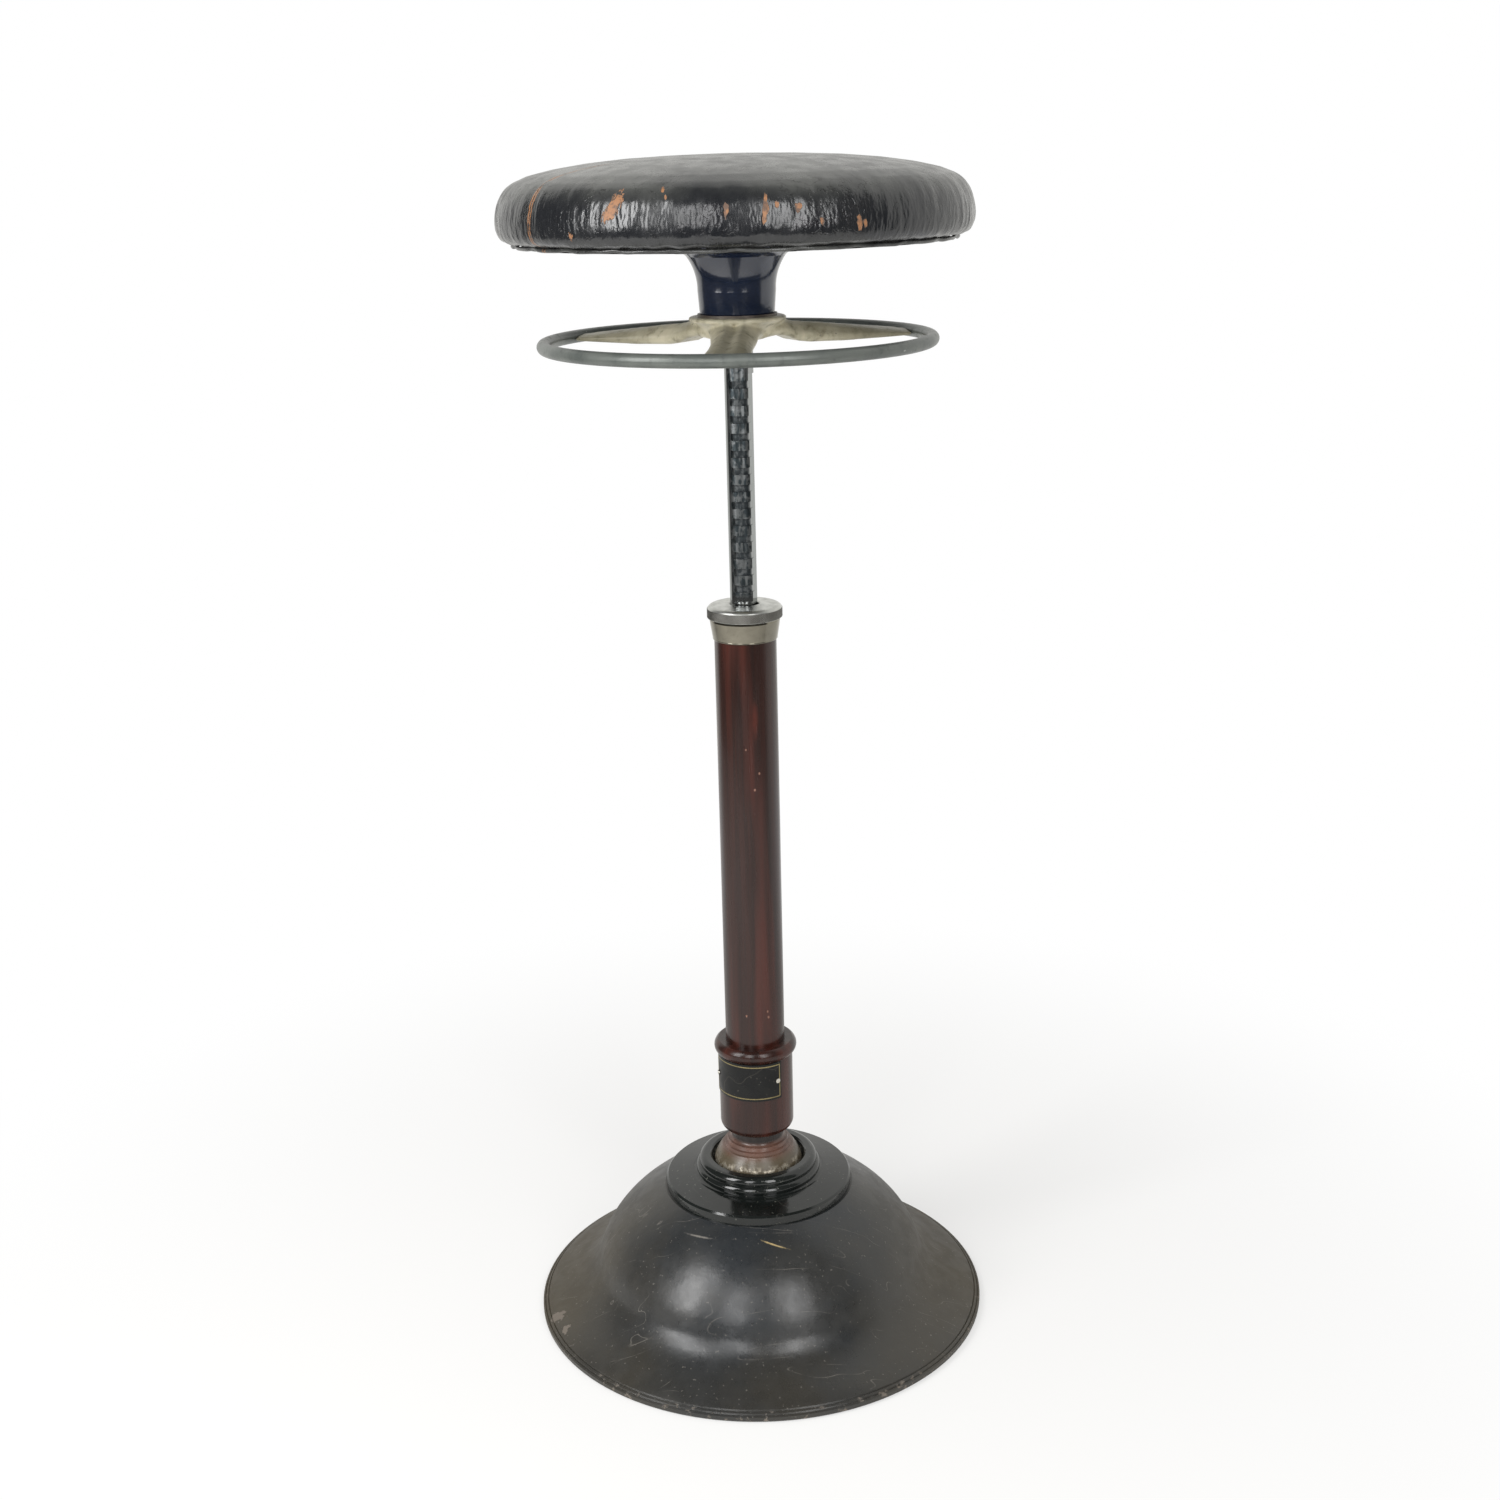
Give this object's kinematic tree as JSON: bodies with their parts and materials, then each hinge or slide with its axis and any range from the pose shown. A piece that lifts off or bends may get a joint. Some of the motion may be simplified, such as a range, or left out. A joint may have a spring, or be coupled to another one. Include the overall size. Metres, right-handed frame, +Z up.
{
  "type": "dental stool",
  "caption": "Round padded swivel stool on a tilting column: domed iron base, ball joint, notched height rod locked by a handwheel",
  "frame": {"origin": "centre of the base on the floor, under the column's axis", "axes": "+Z up along the column, -Y the front that faces the picture's viewer, +X to that viewer's right"},
  "size_m": [0.3785, 0.3786, 0.9486],
  "materials": {
    "base_enamel": "worn black enamel on a casting",
    "ring_enamel": "glossy black enamel",
    "inner_steel": "bright turned steel",
    "bolt_steel": "dark oiled steel",
    "ball_brown": "brown enamel rubbed through to the metal",
    "column_enamel": "mahogany red enamel",
    "plate_black": "black plate with a gilt edge",
    "rivet_metal": "bright rivet",
    "nickel": "polished nickel plate",
    "bronze": "oiled bearing bronze",
    "spider_paint": "aged cream paint",
    "wheel_grey": "worn grey paint",
    "neck_enamel": "glossy blue black enamel",
    "board_black": "blackened ply",
    "leather": "old black hide, creased and scuffed",
    "stuffing": "curled hair and cotton",
    "tack_steel": "blued tacks"
  },
  "bodies": {
    "base": {"base_dome": "base_enamel", "socket_ring": "ring_enamel", "socket_cup": "bolt_steel", "socket_bolts": "bolt_steel", "spring_plate": "inner_steel"},
    "pin": {"cross_pin": "inner_steel"},
    "column": {"ball_stem": "ball_brown", "return_spring": "inner_steel", "spring_washer": "inner_steel", "stem_nut": "bolt_steel", "column_collar": "column_enamel", "collar_screws": "bolt_steel", "name_plate": "plate_black", "name_plate_rivets": "rivet_metal", "column_tube": "column_enamel", "ferrule": "nickel", "guide_bush": "bronze", "knurled_cap": "nickel", "latch_pin": "inner_steel"},
    "guide": {"guide_shoe": "bronze"},
    "rod": {"height_rod": "nickel", "shoe_washer": "inner_steel", "shoe_screw": "bolt_steel", "wheel_spider": "spider_paint", "wheel_ring": "wheel_grey", "wheel_set_screw": "bolt_steel", "thrust_washer": "inner_steel", "spindle_washer": "inner_steel", "spindle_screw": "bolt_steel"},
    "seat": {"seat_neck": "neck_enamel", "neck_bush": "bronze", "neck_screws": "bolt_steel", "seat_board": "board_black", "seat_padding": "stuffing", "seat_cover": "leather", "cover_tacks": "tack_steel"}
  },
  "joints": [
    {"name": "tilt_side", "type": "hinge", "parent": "base", "child": "pin", "pos_m": [0, 0, 0.12], "axis": [0, 1, 0], "range_deg": [-8, 8], "stiffness_Nm_per_rad": 350, "deforming": ["return_spring"]},
    {"name": "tilt_fore", "type": "hinge", "parent": "pin", "child": "column", "pos_m": [0, 0, 0.12], "axis": [1, 0, 0], "range_deg": [-8, 8], "stiffness_Nm_per_rad": 350, "deforming": ["return_spring"]},
    {"name": "height", "type": "slide", "parent": "column", "child": "guide", "axis": [0, 0, 1], "range_m": [-0.1827, 0.0261]},
    {"name": "wheel_turn", "type": "hinge", "parent": "guide", "child": "rod", "pos_m": [0, 0, 0.6], "axis": [0, 0, 1], "range_deg": [0, 100]},
    {"name": "seat_swivel", "type": "hinge", "parent": "rod", "child": "seat", "pos_m": [0, 0, 0.85], "axis": [0, 0, 1], "continuous": true}
  ]
}
